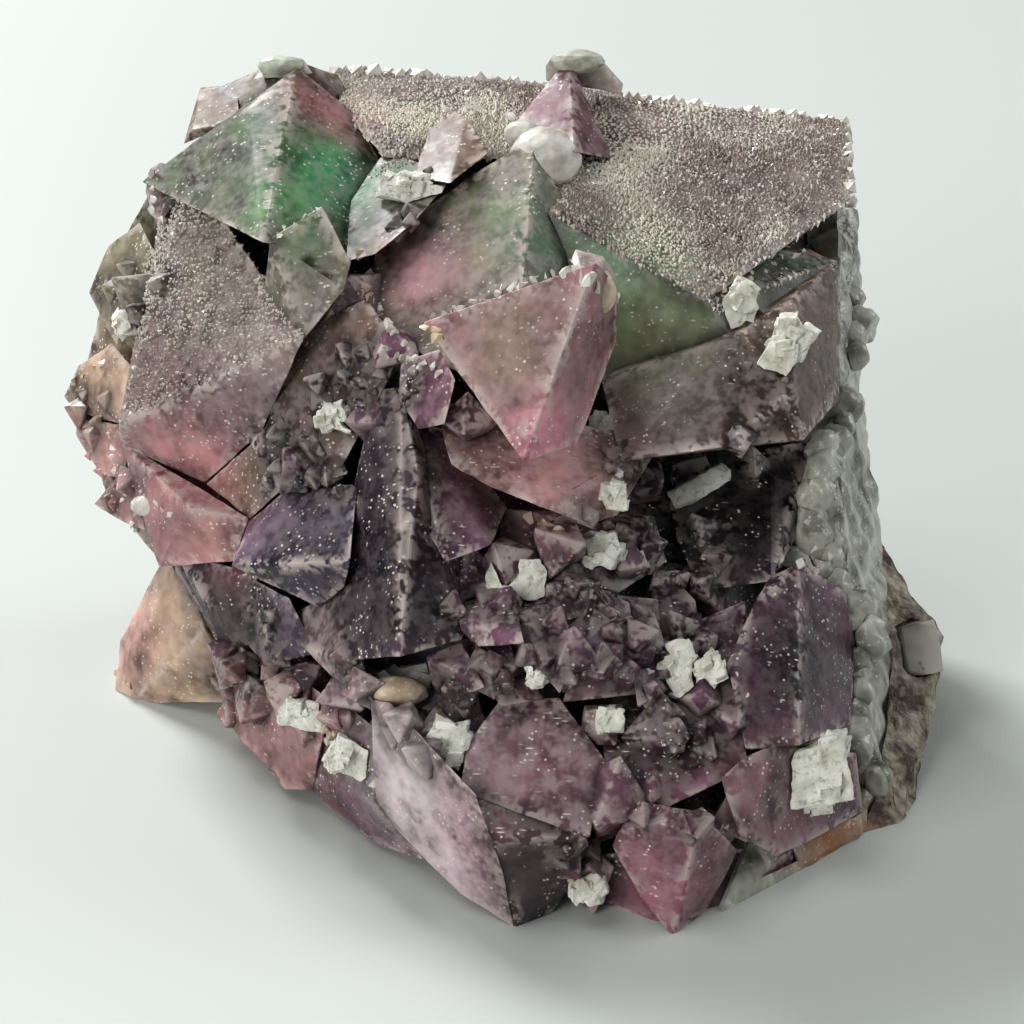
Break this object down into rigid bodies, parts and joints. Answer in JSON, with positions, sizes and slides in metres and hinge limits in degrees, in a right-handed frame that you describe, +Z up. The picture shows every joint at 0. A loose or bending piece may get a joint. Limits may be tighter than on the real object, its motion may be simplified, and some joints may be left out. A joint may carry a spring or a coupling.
{
  "type": "fluorite crystal cluster",
  "caption": "Cluster of purple, green and pink fluorite octahedra grown together over a pale layer on brown rock, with white calcite grains, standing on the rock's flat underside and its front tips.",
  "frame": {"origin": "on the floor, under the middle of the whole specimen's box", "axes": "+X to the right of the picture's view, +Y away from the viewer, +Z up as the specimen stands"},
  "size_m": [0.109, 0.0864, 0.0767],
  "materials": {
    "fluorite": "clear to cloudy purple, green and pink crystal with frosted and dusted faces",
    "pale_layer": "pale grey-green layered crystal with a broken edge",
    "rock": "rough brown and grey broken rock",
    "quartz": "smooth cloudy pebble",
    "calcite": "white, chalky, slightly sparkling grains"
  },
  "bodies": {
    "root": {"fluorite_cluster": "fluorite", "pale_layer": "pale_layer", "host_rock": "rock", "quartz_pebble": "quartz", "calcite_grain_a": "calcite", "calcite_grain_b": "calcite", "calcite_grain_c": "calcite", "calcite_grain_d": "calcite", "calcite_grain_e": "calcite", "calcite_grain_f": "calcite", "calcite_grain_g": "calcite", "calcite_grain_h": "calcite", "calcite_grain_i": "calcite", "calcite_grain_j": "calcite", "calcite_grain_k": "calcite", "calcite_grain_l": "calcite", "calcite_grain_m": "calcite", "calcite_grain_n": "calcite", "calcite_grain_o": "calcite", "calcite_grain_p": "calcite", "calcite_grain_q": "calcite", "calcite_grain_r": "calcite", "calcite_grain_s": "calcite", "calcite_grain_t": "calcite", "calcite_grain_u": "calcite", "calcite_grain_v": "calcite", "calcite_grain_w": "calcite", "calcite_grain_x": "calcite"}
  },
  "joints": []
}
